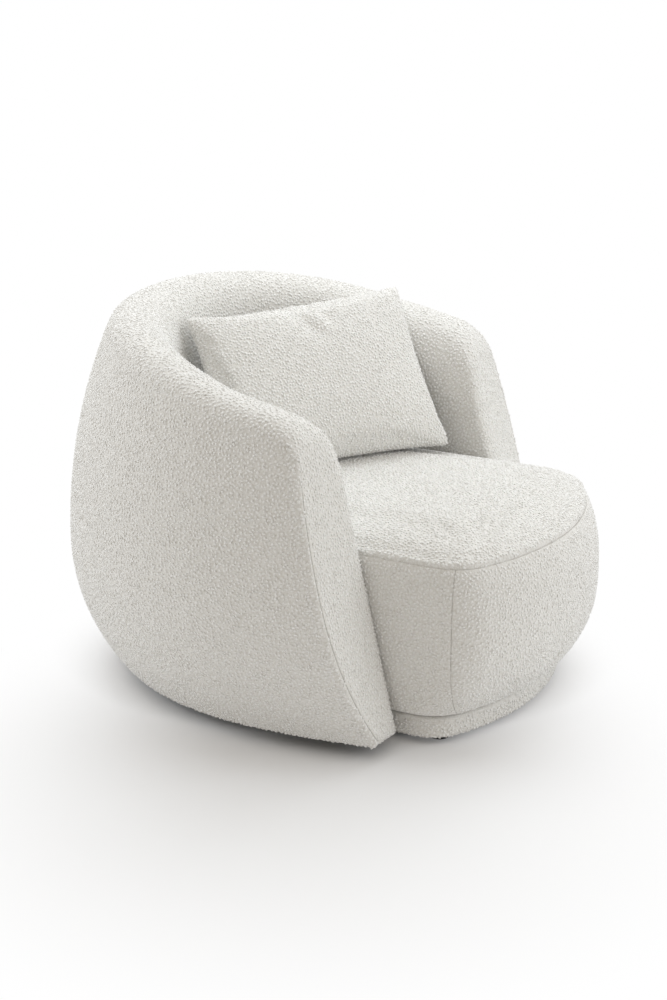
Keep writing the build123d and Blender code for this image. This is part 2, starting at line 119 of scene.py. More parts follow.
def new_finish(name):
    finish = bpy.data.materials.new(name)
    finish.use_nodes = True
    finish.node_tree.nodes.clear()
    return finish, Nodes(finish.node_tree)


def dress(finish, *names):
    """Gives CAD nodes, whose shapes are right already, their finish."""
    for name in names:
        cad[name].data.materials.clear()
        cad[name].data.materials.append(finish)


black_plastic, net = new_finish("moulded black plastic")
spot = net.place()
grain = net.noise(spot, 0.0012)
scuffs = net.noise(spot, 0.009, 4.0)
net.surface({
    "Base Color": net.mix(scuffs, (0.012, 0.012, 0.013, 1), (0.03, 0.03, 0.031, 1)),
    "Roughness": 0.42 + scuffs * 0.25,
    "Normal": net.raised(grain, 0.0002, 0.5),
})
dress(black_plastic, "feet")


# Fixings and chassis: zinc-plated screws, bolts and washers, and the steel flats that tie the
# plinth to the shell. All of it is out of sight unless the chair is turned over.

zinc_steel, net = new_finish("zinc-plated steel")
spot = net.place()
brushed = net.noise(net.stretched(spot, (900.0, 60.0, 900.0)), 1.0, 3.0)
bloom = net.noise(spot, 0.03, 4.0)
net.surface({
    "Base Color": net.mix(bloom, (0.42, 0.43, 0.44, 1), (0.6, 0.61, 0.62, 1)),
    "Metallic": 1.0,
    "Roughness": 0.3 + brushed * 0.2,
    "Normal": net.raised(brushed, 0.0002, 0.4),
})
dress(zinc_steel, "foot_screws", "chassis_bars", "chassis_bolts", "chassis_washers",
      "seat_screws", "rib_screws")


# Frame: birch plywood ring, hoops, base board and ribs, a bent outer board, and planed beech rails.
# Raw timber with nothing on it, cut, screwed and glued, and then padded over everywhere.

def timber(name, pale, dark, along):
    finish, net = new_finish(name)
    spot = net.place()
    drift = net.noise(spot, 0.12, 2.0)
    fibre = net.noise(net.stretched(spot, along), 1.0, 5.0)
    net.surface({
        "Base Color": net.mix(fibre * 0.7 + drift * 0.3, pale, dark),
        "Roughness": 0.55 + fibre * 0.2,
        "Normal": net.raised(fibre, 0.0004, 0.5),
    })
    return finish


birch_ply = timber("birch plywood", (0.7, 0.54, 0.35, 1), (0.5, 0.35, 0.2, 1), (30.0, 30.0, 450.0))
beech = timber("planed beech", (0.66, 0.48, 0.31, 1), (0.48, 0.31, 0.18, 1), (260.0, 18.0, 260.0))
dress(birch_ply, "plinth_ring", "plinth_hoop", "seat_hoop", "shell_base_board", "shell_ribs",
      "shell_outer_board")
dress(beech, "plinth_rails", "rim_rail")


# Straps: woven elastic webbing, stretched across the seat hoop and round the inside of the ribs.
# It carries the foam, and lies between the frame and the padding.

strap_weave, net = new_finish("woven elastic strap")
spot = net.place()
ribs = net.node("ShaderNodeTexWave", {"wave_type": "BANDS", "bands_direction": "DIAGONAL"},
                {"Vector": spot, "Scale": 160.0, "Distortion": 0.6}, out="Fac")
net.surface({
    "Base Color": net.mix(ribs, (0.1, 0.09, 0.085, 1), (0.3, 0.28, 0.25, 1)),
    "Roughness": 0.85,
    "Normal": net.raised(ribs, 0.0006),
})
dress(strap_weave, "seat_webbing", "shell_webbing")


# Plinth cloth: a band of the chair's own looped wool cloth, pulled round the plinth hoop.
# The yarn is spun with loops, so the face is a close pile of soft knobs with no weave to see.

KNOT_GAP = 0.0057       # spacing of the knots of yarn that stand out of the cloth
CLOSE_GAP = 0.0051      # the same where the cloth is seen from near above
KNOT = 0.0031           # radius of a knot
KNOT_SEED = 7
STEP = 0.006            # spacing of the points on a cloth face
SHARP = math.radians(62)    # a fold sharper than this shows as an edge

boucle, net = new_finish("looped wool cloth")
spot = net.place()
knob = net.node("ShaderNodeTexVoronoi", {"feature": "F1"}, {"Vector": spot, "Scale": 1 / 0.0036})
curl = net.noise(spot, 0.0024, 1.0)
fuzz = net.noise(spot, 0.0009, 2.0)
drift = net.noise(spot, 0.09, 2.0)
# Painted light: each knot is lighter towards its top and darker at its foot, as light falling on it would
# leave it.
tip = net.node("ShaderNodeAttribute", {"attribute_name": "tip"}, out="Fac")
pile = (1 - knob * knob) * 0.4 + curl * 0.6 + fuzz * 0.25
# The colour runs from painted shade in the hollows between knots to a lighter colour on knot tops, set by
# height; the drift after it is the wool's own random tone.
high = net.node("ShaderNodeMapRange", {"interpolation_type": "SMOOTHSTEP"},
                {"Value": pile + tip * 0.4, "From Min": 0.3, "From Max": 1.1})
tone_and_painted_shading = net.mix(high, (0.69, 0.667, 0.622, 1), (0.922, 0.92, 0.91, 1))
tone_and_painted_shading = net.mix(drift * 0.3, tone_and_painted_shading, (0.84, 0.828, 0.8, 1))
# Along seams the colour goes dark: painted shade in the seam's groove, with some darker thread.
sewn = net.node("ShaderNodeAttribute", {"attribute_name": "sewn"}, out="Fac")
net.surface({
    "Base Color": net.mix(sewn, tone_and_painted_shading, (0.3, 0.285, 0.26, 1)),
    "Roughness": 0.95,
    "Specular IOR Level": 0.1,
    "Sheen Weight": 0.25,
    "Sheen Roughness": 0.5,
    "Normal": net.raised(pile, 0.0028, 0.5),
})

knots_tree = bpy.data.node_groups.new("knotted cloth face", "GeometryNodeTree")
knots_tree.interface.new_socket("Geometry", in_out="INPUT", socket_type="NodeSocketGeometry")
knot_sockets = [knots_tree.interface.new_socket(name, in_out="INPUT", socket_type="NodeSocket" + kind)
                for name, kind in (("Knot Gap", "Float"), ("Knot Radius", "Float"), ("Seed", "Int"),
                                   ("Cloth", "Material"))]
knots_tree.interface.new_socket("Geometry", in_out="OUTPUT", socket_type="NodeSocketGeometry")
net = Nodes(knots_tree)
given = knots_tree.nodes.new("NodeGroupInput")
source, gap, radius, seed, finish = (Shade(net, socket) for socket in given.outputs[:5])
cover = net.node("GeometryNodeInputNamedAttribute", {"data_type": "FLOAT"}, {"Name": "pile"})
points = net.node("GeometryNodeDistributePointsOnFaces", {"distribute_method": "POISSON"},
                  {"Mesh": source, "Distance Min": gap, "Density Max": 2 / (gap * gap),
                   "Density Factor": cover, "Seed": seed}, out="Points")
standing = Shade(net, points.socket.node.outputs["Rotation"])
lean = net.node("FunctionNodeRandomValue", {"data_type": "FLOAT_VECTOR"},
                {0: (-0.5, -0.5, 0.0), 1: (0.5, 0.5, 6.283), "Seed": seed})
turn = net.node("FunctionNodeRotateRotation", {"rotation_space": "LOCAL"},
                {"Rotation": standing, "Rotate By": net.node("FunctionNodeEulerToRotation", None, {0: lean})})
swell = net.node("FunctionNodeRandomValue", {"data_type": "FLOAT_VECTOR"},
                 {0: (0.95, 0.7, 0.42), 1: (1.45, 1.05, 0.7), "Seed": seed})
knot = net.node("GeometryNodeMeshIcoSphere", None, {"Radius": radius, "Subdivisions": 1})
# Each knot carries a value from nought at its foot to one at its top; the cloth's colour uses it for painted
# light on the knot tops.
lift = net.node("ShaderNodeSeparateXYZ", None, {0: net.node("GeometryNodeInputPosition")}, out="Z")
knot = net.node("GeometryNodeStoreNamedAttribute", {"data_type": "FLOAT", "domain": "POINT"},
                {"Geometry": knot, "Name": "tip", "Value": 0.5 + lift / radius * 0.5})
knots = net.node("GeometryNodeInstanceOnPoints", None,
                 {"Points": points, "Instance": knot, "Rotation": turn, "Scale": swell})
knots = net.node("GeometryNodeRealizeInstances", None, {0: knots})
knots = net.node("GeometryNodeSetShadeSmooth", None, {0: knots})
whole = net.node("GeometryNodeJoinGeometry", None, {0: [source, knots]})
covered = net.node("GeometryNodeSetMaterial", None, {"Geometry": whole, "Material": finish})
net.node("NodeGroupOutput", None, {0: covered})


def looped(piece, knot_gap=KNOT_GAP):
    """Raises knots of looped yarn on a cloth piece and makes the result its plain mesh."""
    face = piece.modifiers.new("knots", "NODES")
    face.node_group = knots_tree
    for socket, value in zip(knot_sockets, (knot_gap, KNOT, KNOT_SEED, boucle)):
        face[socket.identifier] = value
    bpy.context.view_layer.update()
    mesh = bpy.data.meshes.new_from_object(piece.evaluated_get(bpy.context.evaluated_depsgraph_get()))
    piece.modifiers.clear()
    piece.data = mesh
    return piece


def skin(name, front, back, pile, sewn=0.0, ring=False):
    """Closed padded piece: rows of face points, each led back to its start by a few hidden ones."""
    loop = np.concatenate([front, back], axis=1)
    rows, around = loop.shape[:2]
    index = np.arange(rows * around).reshape(rows, around)
    side = np.roll(index, -1, axis=1)
    ahead, side_ahead = np.roll(index, -1, axis=0), np.roll(side, -1, axis=0)
    last = rows if ring else rows - 1
    faces = np.stack([index, side, side_ahead, ahead], axis=-1)[:last].reshape(-1, 4).tolist()
    if not ring:
        faces += [index[0].tolist(), index[-1][::-1].tolist()]
    mesh = bpy.data.meshes.new(name)
    mesh.from_pydata(loop.reshape(-1, 3).tolist(), [], faces)
    shape = bmesh.new()
    shape.from_mesh(mesh)
    bmesh.ops.recalc_face_normals(shape, faces=shape.faces)
    shape.to_mesh(mesh)
    shape.free()
    mesh.shade_smooth()
    mesh.set_sharp_from_angle(angle=SHARP)
    # Each face point keeps its share of knots and its painted seam shade, partly darker thread.
    for layer, amount in (("pile", pile), ("sewn", sewn)):
        values = np.zeros((rows, around), np.float32)
        values[:, :front.shape[1]] = amount
        mesh.attributes.new(layer, "FLOAT", "POINT").data.foreach_set("value", values.ravel())
    piece = bpy.data.objects.new(name, mesh)
    scene.collection.objects.link(piece)
    return piece


def spaced(length, step=STEP, fine=(True, True)):
    """Places along a face, closer together where an end is turned in at a seam."""
    close = np.array([0.0, 0.0008, 0.0018, 0.003, 0.0045, 0.0065, 0.009])
    start = close if fine[0] else np.array([0.0])
    end = length - (close if fine[1] else np.array([0.0]))[::-1]
    count = max(int((end[0] - start[-1]) / step), 1)
    middle = np.linspace(start[-1], end[0], count + 1)[1:-1]
    return np.concatenate([start, middle, end])


def turned_in(distance, width, depth):
    """How far a face sinks at a distance from its sewn edge."""
    share = np.clip(1 - distance / width, 0, 1)
    return depth * (1 - np.sqrt(1 - share**2))


def normals(face, inside):
    """Outward normals of a grid of points round an inside point."""
    across = np.cross(np.gradient(face, axis=0), np.gradient(face, axis=1))
    across /= np.maximum(np.linalg.norm(across, axis=2, keepdims=True), 1e-12)
    middle = np.array(face.shape[:2]) // 2
    way = np.sign(np.dot(across[tuple(middle)], face[tuple(middle)] - np.array(inside)))
    return across * way


def plan(half, front, corner, bow, round_y):
    """Dense outline of the drum seen from above, from the middle of its back by the left side and round."""
    bow_y = front + bow
    corner_x = half - corner
    corner_y = bow_y - math.sqrt((bow - corner) ** 2 - corner_x**2)
    reach = math.atan2(corner_x, bow_y - corner_y)
    turn = np.linspace(0, math.pi / 2, 160)
    back = np.stack([half * np.sin(turn), round_y + half * np.cos(turn)], axis=1)
    turn = np.linspace(0, math.pi / 2 - reach, 60)
    edge = np.stack([corner_x + corner * np.cos(turn), corner_y - corner * np.sin(turn)], axis=1)
    turn = np.linspace(reach, 0, 160)
    front_edge = np.stack([bow * np.sin(turn), bow_y - bow * np.cos(turn)], axis=1)
    half_way = np.concatenate([back, edge, front_edge])
    return np.concatenate([half_way, (half_way * (-1, 1))[-2:0:-1]])


def measured(line):
    """Distance along a line of points."""
    return np.concatenate([[0], np.cumsum(np.linalg.norm(np.diff(line, axis=0), axis=1))])


def along(line, places):
    """Points at places along a line."""
    run = measured(line)
    return np.stack([np.interp(places, run, line[:, axis]) for axis in range(line.shape[1])], axis=-1)


ROUND_Y = -0.012        # middle of the drum's round back
CREASE = (0.3, -0.4585, 0.085, 0.514)   # the drum's outline at the plinth: half width, front, corner, bow
PLINTH_IN = (0.011, 0.0215)             # how far its face and the back of its cloth stand inside that line
PLINTH_Z = (0.0135, 0.0575)
PLINTH_STEP = 0.0034
PLINTH_TOP, PLINTH_FOOT = (0.01, 0.0095), (0.008, 0.006)    # width and depth of its turned edges
PLINTH_BARE, PLINTH_FADE = 0.008, 0.006     # no knots in the crease, then more and more of them


def plinth_outline(inset):
    half, front, corner, bow = CREASE
    line = plan(half - inset, front + inset, corner - inset, bow - inset, ROUND_Y)
    ring = np.concatenate([line, line[:1]])
    return along(ring, np.linspace(0, measured(ring)[-1], 560)[:-1])


def upright(line, heights):
    """A wall of points over a plan line."""
    wide = np.repeat(line[:, None], len(heights), axis=1)
    return np.concatenate([wide, np.tile(heights, (len(line), 1))[..., None]], axis=2)


rise = spaced(PLINTH_Z[1] - PLINTH_Z[0], PLINTH_STEP)
sink = turned_in(rise[-1] - rise, *PLINTH_TOP) + turned_in(rise, *PLINTH_FOOT)
face = upright(plinth_outline(PLINTH_IN[0]), PLINTH_Z[0] + rise)
tufted = np.tile(np.clip((rise[-1] - rise - PLINTH_BARE) / PLINTH_FADE, 0, 1), (len(face), 1))
face -= normals(face, (0, -0.1, 0.03)) * sink[None, :, None]
behind = upright(plinth_outline(PLINTH_IN[1]), np.array([PLINTH_Z[1] + 0.0015, PLINTH_Z[0] + 0.008]))
plinth_cloth = looped(skin("plinth_cloth", face, behind, tufted, ring=True))
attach(plinth_cloth, "chair")
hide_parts("plinth_band")


# Dust cloth under the plinth: thin black felt, stretched over the ring and stapled round its edge.
# It sags a little in the middle, and the feet go through it.

FELT = 0.0005           # thickness
FELT_IN = 0.023         # how far its edge stands inside the crease
FELT_Z, FELT_SAG = 0.0152, 0.003

black_felt, net = new_finish("black felt")
spot = net.place()
fibres = net.noise(net.stretched(spot, (400.0, 1500.0, 900.0)), 1.0, 4.0)
net.surface({
    "Base Color": net.mix(fibres, (0.012, 0.012, 0.013, 1), (0.05, 0.05, 0.052, 1)),
    "Roughness": 0.9,
    "Normal": net.raised(fibres, 0.0003),
})


def felt(name, low_face, thickness):
    """Thin sheet from the grid of its underside."""
    top = low_face[:, ::-1] + np.array((0, 0, thickness))
    sheet = skin(name, low_face, top, 0.0)
    sheet.data.materials.append(black_felt)
    return sheet


half, front, corner, bow = CREASE
edge = plan(half - FELT_IN, front + FELT_IN, corner - FELT_IN, bow - FELT_IN, ROUND_Y)
edge = edge[:len(edge) // 2 + 1]
rows = np.linspace(edge[-1, 1] + 0.004, edge[0, 1] - 0.004, 60)
half_width = np.interp(-rows, -edge[:, 1], edge[:, 0])
shares = np.linspace(-1, 1, 41)
slack = (1 - shares**2)[None, :] * np.sin(np.linspace(0, math.pi, len(rows)))[:, None]
cloth_grid = np.stack([half_width[:, None] * shares, np.repeat(rows[:, None], len(shares), axis=1),
                       FELT_Z - FELT_SAG * slack], axis=2)
plinth_felt = felt("plinth_dust_cloth", cloth_grid, FELT)
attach(plinth_felt, "chair")
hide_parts("underside_cloth")


# Seat bands: the drum's side in three lengths of cloth over foam, sewn at an upright seam by each
# front corner and to the top panel all round. The lower edge is pulled under to the plinth.

SEAT_HALF = (0.3, 0.305, 0.298)         # half width at the crease, the girth and the seam
SEAT_FRONT_IN = (0.064, 0.0, 0.028)     # how far the front stands in at those lines
SEAT_Z = (0.059, 0.215, 0.352)          # their heights
SEAT_FRONT = -0.5225
SEAT_CORNER = 0.085
SEAT_BOW = 0.514
SEAM_Y = -0.388
SEAM_WIDTH, SEAM_DEPTH = 0.0035, 0.003
SEAM_SHADE_HALF_WIDTH = 0.0016      # half width of the dark line along a seam: painted shade in its groove, with some darker thread
TOP_SEAM_SHADE, UPRIGHT_SEAM_SHADE = 0.32, 0.24     # how dark that painted seam shade is in the top seam and the upright ones
UPRIGHT_WIDTH, UPRIGHT_DEPTH = 0.003, 0.0018
BAND_FOOT = (0.01, 0.01)    # width and depth of the edge that is pulled under
BAND_PAD = 0.014
SIDE_SEEN = 0.34        # length of a side band in front of the shell


def drum_side(z):
    """Half of the drum's outline at a height, from the middle of the back to the middle of the front."""
    low, girth, seam = SEAT_Z
    lower = z < girth
    share = ((girth - z) / (girth - low)) ** 2.4 if lower else ((z - girth) / (seam - girth)) ** 3
    end = 0 if lower else 2
    half = SEAT_HALF[1] + (SEAT_HALF[end] - SEAT_HALF[1]) * share
    line = plan(half, SEAT_FRONT + SEAT_FRONT_IN[end] * share, SEAT_CORNER, SEAT_BOW, ROUND_Y)
    return line[:len(line) // 2 + 1]


rise = spaced(SEAT_Z[2] - SEAT_Z[0])
heights = SEAT_Z[0] + rise
lines = [drum_side(z) for z in heights]
seams = [float(np.interp(-SEAM_Y, -line[:, 1], measured(line))) for line in lines]
lengths = [float(measured(line)[-1]) for line in lines]
front_half = spaced(np.mean(lengths) - np.mean(seams), fine=(True, False))
side_reach = np.mean(seams)
hidden = side_reach - SIDE_SEEN
side_run = np.concatenate([np.linspace(0, hidden, 40)[:-1], hidden + spaced(SIDE_SEEN, fine=(False, True))])


def band_face(places, whole):
    """Grid of points on one band: a column for each place along it, a row for each height."""
    shares = places / places[-1]
    columns = []
    for line, z, (start, end) in zip(lines, heights, whole):
        spots = along(line, start + shares * (end - start))
        columns.append(np.column_stack([spots, np.full(len(places), z)]))
    return np.stack(columns, axis=1)


def seat_band(name, face, seam_gap, seen, node):
    out = normals(face, (0, -0.1, 0.2))
    top_gap = rise[-1] - rise
    sink = turned_in(top_gap, SEAM_WIDTH, SEAM_DEPTH)[None, :] + turned_in(rise, *BAND_FOOT)[None, :]
    sink = sink + turned_in(seam_gap, UPRIGHT_WIDTH, UPRIGHT_DEPTH)[:, None]
    free = np.minimum(np.minimum(top_gap - 0.002, rise - 0.006)[None, :], seam_gap[:, None])
    pile = np.clip(free / 0.004, 0, 1)
    face = face - out * sink[..., None]
    pile = pile * np.clip((seen - seam_gap) / 0.02, 0, 1)[:, None]
    # Painted shade along the top seam and the upright seams, with some darker thread, kept as the sewn value.
    top_seam_shade = TOP_SEAM_SHADE * (1 - top_gap / SEAM_SHADE_HALF_WIDTH)
    upright_seam_shade = UPRIGHT_SEAM_SHADE * (1 - seam_gap / SEAM_SHADE_HALF_WIDTH)
    sewn = np.maximum(top_seam_shade[None, :], upright_seam_shade[:, None]).clip(0)
    picks = [len(rise) - 4, len(rise) // 2, 4]
    band = looped(skin(name, face, (face - out * BAND_PAD)[:, picks], pile, sewn))
    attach(band, "chair")
    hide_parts(*node)


left_front = band_face(front_half, list(zip(seams, lengths)))
mirrored = (left_front * (-1, 1, 1))[-2::-1]
gap = np.concatenate([front_half, front_half[-2::-1]])
seat_band("seat_front", np.concatenate([left_front, mirrored]), gap, 1.0, ["seat_front_band", "seat_foam"])
left_side = band_face(side_run, [(0.0, seam) for seam in seams])
gap = side_run[-1] - side_run
seat_band("seat_left_side", left_side, gap, SIDE_SEEN, ["left_seat_side_band", "seat_side_pad"])
seat_band("seat_right_side", left_side * (-1, 1, 1), gap, SIDE_SEEN, ["right_seat_side_band"])


# Seat top: a crowned panel over soft topper and foam, sewn to the bands in one seam round its edge.
# It is blown out a little against its seam, as stuffed cloth is, with the edge held.

CROWN = 0.046
CROWN_SHOULDER = 0.0317


def crown_ring(draw, lift):
    half, front = SEAT_HALF[2] - draw, SEAT_FRONT + SEAT_FRONT_IN[2] + draw
    line = plan(half, front, max(SEAT_CORNER - 0.3 * draw, 0.02), SEAT_BOW - 0.5 * draw, ROUND_Y)
    ring = np.concatenate([line, line[:1]])
    points = along(ring, np.linspace(0, measured(ring)[-1], 361)[:-1])
    return np.column_stack([points, np.full(len(points), SEAT_Z[2] + 0.0008 + lift)])


def crown_rise(draw):
    return CROWN * (1 - np.exp(-(draw / CROWN_SHOULDER) ** 0.78))


def stuffed(piece, voxel, pressure, cap, held):
    """Remeshes a closed pad evenly and blows it out as cloth: held points stay, every move is capped."""
    even = piece.modifiers.new("even", "REMESH")
    even.mode, even.voxel_size, even.use_smooth_shade = "VOXEL", voxel, True
    piece.data = bpy.data.meshes.new_from_object(piece.evaluated_get(bpy.context.evaluated_depsgraph_get()))
    piece.modifiers.clear()
    count = len(piece.data.vertices)
    start = np.zeros(count * 3, np.float32)
    piece.data.vertices.foreach_get("co", start)
    start = start.reshape(-1, 3)
    hold = piece.vertex_groups.new(name="held")
    hold.add([int(index) for index in np.nonzero(held(start))[0]], 1.0, "REPLACE")
    cloth = piece.modifiers.new("cloth", "CLOTH").settings
    cloth.quality = 6
    cloth.mass = 0.25
    cloth.tension_stiffness = cloth.compression_stiffness = 18
    cloth.shear_stiffness = 8
    cloth.bending_stiffness = 2
    cloth.use_pressure = True
    cloth.uniform_pressure_force = pressure
    cloth.effector_weights.gravity = 0
    cloth.vertex_group_mass = "held"
    for moment in range(1, 21):
        scene.frame_set(moment)
    blown = piece.evaluated_get(bpy.context.evaluated_depsgraph_get()).to_mesh()
    end = np.zeros(count * 3, np.float32)
    blown.vertices.foreach_get("co", end)
    piece.modifiers.clear()
    piece.vertex_groups.clear()
    scene.frame_set(1)
    move = end.reshape(-1, 3) - start
    far = np.maximum(np.linalg.norm(move, axis=1, keepdims=True), 1e-9)
    start = start + move * np.minimum(1, cap / far)
    piece.data.vertices.foreach_set("co", start.astype(np.float32).ravel())
    piece.data.update()
    return start


draws = np.array([0.0008, 0.002, 0.004, 0.007, 0.012, 0.02, 0.03, 0.045, 0.065, 0.09, 0.12, 0.15, 0.18])
rings = [crown_ring(0.006, -0.009), crown_ring(0.0028, -0.004), crown_ring(0.0006, 0.001)]
rings = np.stack(rings + [crown_ring(draw, crown_rise(draw)) for draw in draws])
seat_top = skin("seat_top", rings, rings[:, :0], 1.0)
top = stuffed(seat_top, 0.006, 2.5, 0.005, lambda co: co[:, 2] < SEAT_Z[2] + 0.010)
pile = np.clip((top[:, 2] - SEAT_Z[2] - 0.003) / 0.003, 0, 1).astype(np.float32)
seat_top.data.attributes.new("pile", "FLOAT", "POINT").data.foreach_set("value", pile)
looped(seat_top, CLOSE_GAP)
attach(seat_top, "chair")
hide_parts("seat_top_cover", "seat_topper")


# Shell outside: one length of cloth over wadding, pulled round the bent outer board from arm to arm.
# It is turned under at the bottom, sewn to the front panel of each arm, and meets the inside at the rim.

HEIGHT, WIDTH, DEPTH = 0.73, 0.98, 1.045
ARM_ANGLE = 105.0
BACK_REACH, FRONT_REACH = 0.53, 0.717
SHELL_BOTTOM = 0.025
ARM_RIM, RIM_FALL = 0.616, 2.5
ARM_LEAN, ARM_YAW = 14.0, 16.0
GIRTH, TUCK = (0.265, 0.316), (0.099, 0.088)
TOP_IN, RIM_RADIUS = (0.091, 0.033), (0.05, 0.038)
WELL_HALF, SEAT_LINE = 0.308, 0.345
ROLL, ROLL_DROP = (0.11, 0.118), 0.16   # how far the top of the rim runs in before it turns down


class Wall:
    """The shell's wall cut square to its run at an angle round the back: u is outwards, v up the section."""

    def __init__(self, angle):
        turn, share = math.radians(angle), abs(angle) / ARM_ANGLE
        reach = BACK_REACH if abs(angle) <= 90 else FRONT_REACH
        point = np.array((WIDTH / 2 * math.sin(turn), DEPTH / 2 - BACK_REACH + reach * math.cos(turn), 0))
        facing = math.atan2(math.cos(turn) / reach, math.sin(turn) * 2 / WIDTH)
        facing += math.radians(math.copysign(ARM_YAW * share**2, angle))
        self.outward = np.array((math.cos(facing), math.sin(facing), 0))
        onward = np.array((math.sin(facing), -math.cos(facing), 0)) * (1 if angle >= 0 else -1)
        lean = math.radians(ARM_LEAN * share**2)
        self.upward = np.array((0, 0, math.cos(lean))) - onward * math.sin(lean)
        self.ahead = onward * math.cos(lean) + np.array((0, 0, math.sin(lean)))

        def blend(pair):
            return pair[0] + (pair[1] - pair[0]) * share**1.6

        self.girth = blend(GIRTH)
        self.origin = point + np.array((0, 0, self.girth))
        self.stretch = 1 / math.cos(lean)
        self.tuck = blend(TUCK)
        self.low_radius = (self.tuck**2 + self.v(SHELL_BOTTOM) ** 2) / (2 * self.tuck)
        self.rim = blend(RIM_RADIUS)
        self.rim_u = -(blend(TOP_IN) + self.rim)
        self.rim_v = self.v(HEIGHT - (HEIGHT - ARM_RIM) * share**RIM_FALL) - self.rim
        self.up_radius = (self.rim_u**2 + self.rim_v**2 - self.rim**2) / (-2 * (self.rim_u + self.rim))
        self.rim_start = math.atan2(self.rim_v, self.rim_u + self.up_radius)
        from_round = point - np.array((0, ROUND_Y, 0))
        run = from_round @ self.outward
        depth = run - math.sqrt(max(run**2 - from_round @ from_round + WELL_HALF**2, 0))
        if point[1] - depth * self.outward[1] < ROUND_Y:
            depth = (abs(point[0]) - WELL_HALF) / abs(self.outward[0])
        self.thick = depth
        self.seat_v = self.v(SEAT_LINE)
        self.roll = blend(ROLL)

    def v(self, height):
        return (height - self.girth) * self.stretch

    def low(self, v, inset=0.0):
        return np.stack([-self.low_radius + np.sqrt((self.low_radius - inset) ** 2 - v**2), v], axis=-1)

    def up(self, turn, inset=0.0):
        radius = self.up_radius - inset
        return np.stack([-self.up_radius + radius * np.cos(turn), radius * np.sin(turn)], axis=-1)

    def over(self, turn, inset=0.0):
        radius = self.rim - inset
        return np.stack([self.rim_u + radius * np.cos(turn), self.rim_v + radius * np.sin(turn)], axis=-1)

    def outside(self):
        """Dense line up the outside, from the bottom edge to where the rim begins."""
        lower = self.low(np.linspace(self.v(SHELL_BOTTOM), 0, 120))
        return np.concatenate([lower, self.up(np.linspace(0, self.rim_start, 120))[1:]])

    def inside(self, floor):
        """Dense line over the rim and down the inside to a height: a round outer half, then a soft roll."""
        rim = self.over(np.linspace(self.rim_start, math.pi / 2, 80))
        seat = np.array((-self.thick, self.seat_v))
        way = np.linspace(0, 1, 160)[1:, None]
        first, second = rim[-1] - np.array((self.roll, 0)), seat + np.array((0, ROLL_DROP))
        left = 1 - way
        roll = left**3 * rim[-1] + 3 * way * left**2 * first + 3 * way**2 * left * second + way**3 * seat
        return np.concatenate([rim, roll, np.linspace(seat, (-self.thick, self.v(floor)), 30)[1:]])

    def placed(self, line):
        line = np.asarray(line)
        return self.origin + line[:, :1] * self.outward + line[:, 1:] * self.upward


EASE, EASE_FADE = 0.045, 0.15   # rounding of the rim's end above each arm front
PANEL_RISE = 0.015              # how far the padded front of an arm stands ahead of its end
arm_ends = [Wall(-ARM_ANGLE), Wall(ARM_ANGLE)]


def eased(points):
    """Rolls the top of the shell down over the arm fronts."""
    points = np.array(points)
    for end in arm_ends:
        away = points - end.origin
        behind = PANEL_RISE - away @ end.ahead
        below = end.rim_v + end.rim - away @ end.upward
        near = np.clip(EASE - behind, 0, EASE)
        drop = EASE - np.sqrt(EASE**2 - near**2)
        drop = drop * (1 - np.clip(below / EASE_FADE, 0, 1)) ** 2
        drop = drop * (np.sign(points[..., 0]) == np.sign(end.origin[0]))
        points = points - drop[..., None] * end.upward
    return points


DEGREE_RUN = 0.0088     # mean run of the outside for each degree round the back
OUTSIDE_RISE = 0.715    # mean length up the outside
OUTSIDE_FOOT = (0.01, 0.009)    # width and depth of the edge that is turned under
OUTSIDE_PAD = 0.018

slow = BACK_REACH / FRONT_REACH
run_end = 90 + (ARM_ANGLE - 90) / slow
run = spaced(2 * run_end * DEGREE_RUN) / DEGREE_RUN - run_end
angles = np.where(np.abs(run) <= 90, run, np.sign(run) * (90 + (np.abs(run) - 90) * slow))
walls = [Wall(angle) for angle in angles]

lines = [wall.outside() for wall in walls]
rise = spaced(OUTSIDE_RISE, fine=(True, False)) / OUTSIDE_RISE
face = np.stack([wall.placed(along(line, rise * measured(line)[-1])) for wall, line in zip(walls, lines)])
out = normals(face, (0, 0, 0.3))
sink = turned_in(rise * OUTSIDE_RISE, *OUTSIDE_FOOT)[None, :, None]
behind = np.stack([wall.placed(np.concatenate([
    wall.up(np.array([wall.rim_start, wall.rim_start / 2]), OUTSIDE_PAD),
    wall.low(np.array([0.0, wall.v(0.15), wall.v(0.055)]), OUTSIDE_PAD)])) for wall in walls])
shell_outside = looped(skin("shell_outside", eased(face - out * sink), eased(behind), 1.0))
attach(shell_outside, "chair")
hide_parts("shell_outer_cover", "shell_wadding")


# Shell inside: one length of cloth that rolls over the rim and down the inside of back and arms.
# Thick foam behind it rests on the webbing, and its lower edge is pulled down beside the seat.

lines = [wall.inside(0.3) for wall in walls]
reach = np.mean([measured(line)[-1] for line in lines])
run_down = spaced(reach, fine=(False, False)) / reach
face = np.stack([wall.placed(along(line, run_down * measured(line)[-1])) for wall, line in zip(walls, lines)])


def foam_back(wall):
    """The hidden side of the foam, from its foot up to the rim."""
    foot = wall.v(0.03)
    back = [(-wall.thick, foot), (-wall.thick + 0.014, foot), (-wall.thick + 0.05, wall.seat_v)]
    turns = np.array([2.6, 1.5, wall.rim_start + 0.03])
    return wall.placed(np.concatenate([back, wall.over(turns, 0.021)]))


behind = np.stack([foam_back(wall) for wall in walls])
shell_inside = looped(skin("shell_inside", eased(face), eased(behind), 1.0))
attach(shell_inside, "chair")
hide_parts("shell_inner_cover", "back_foam", "left_arm_foam", "right_arm_foam")


# Arm fronts: a leaf-shaped panel of cloth over a thin pad on the end of each arm.
# Its outer edge is sewn to the outside in a plain seam; over the rim and inside it rounds off soft.

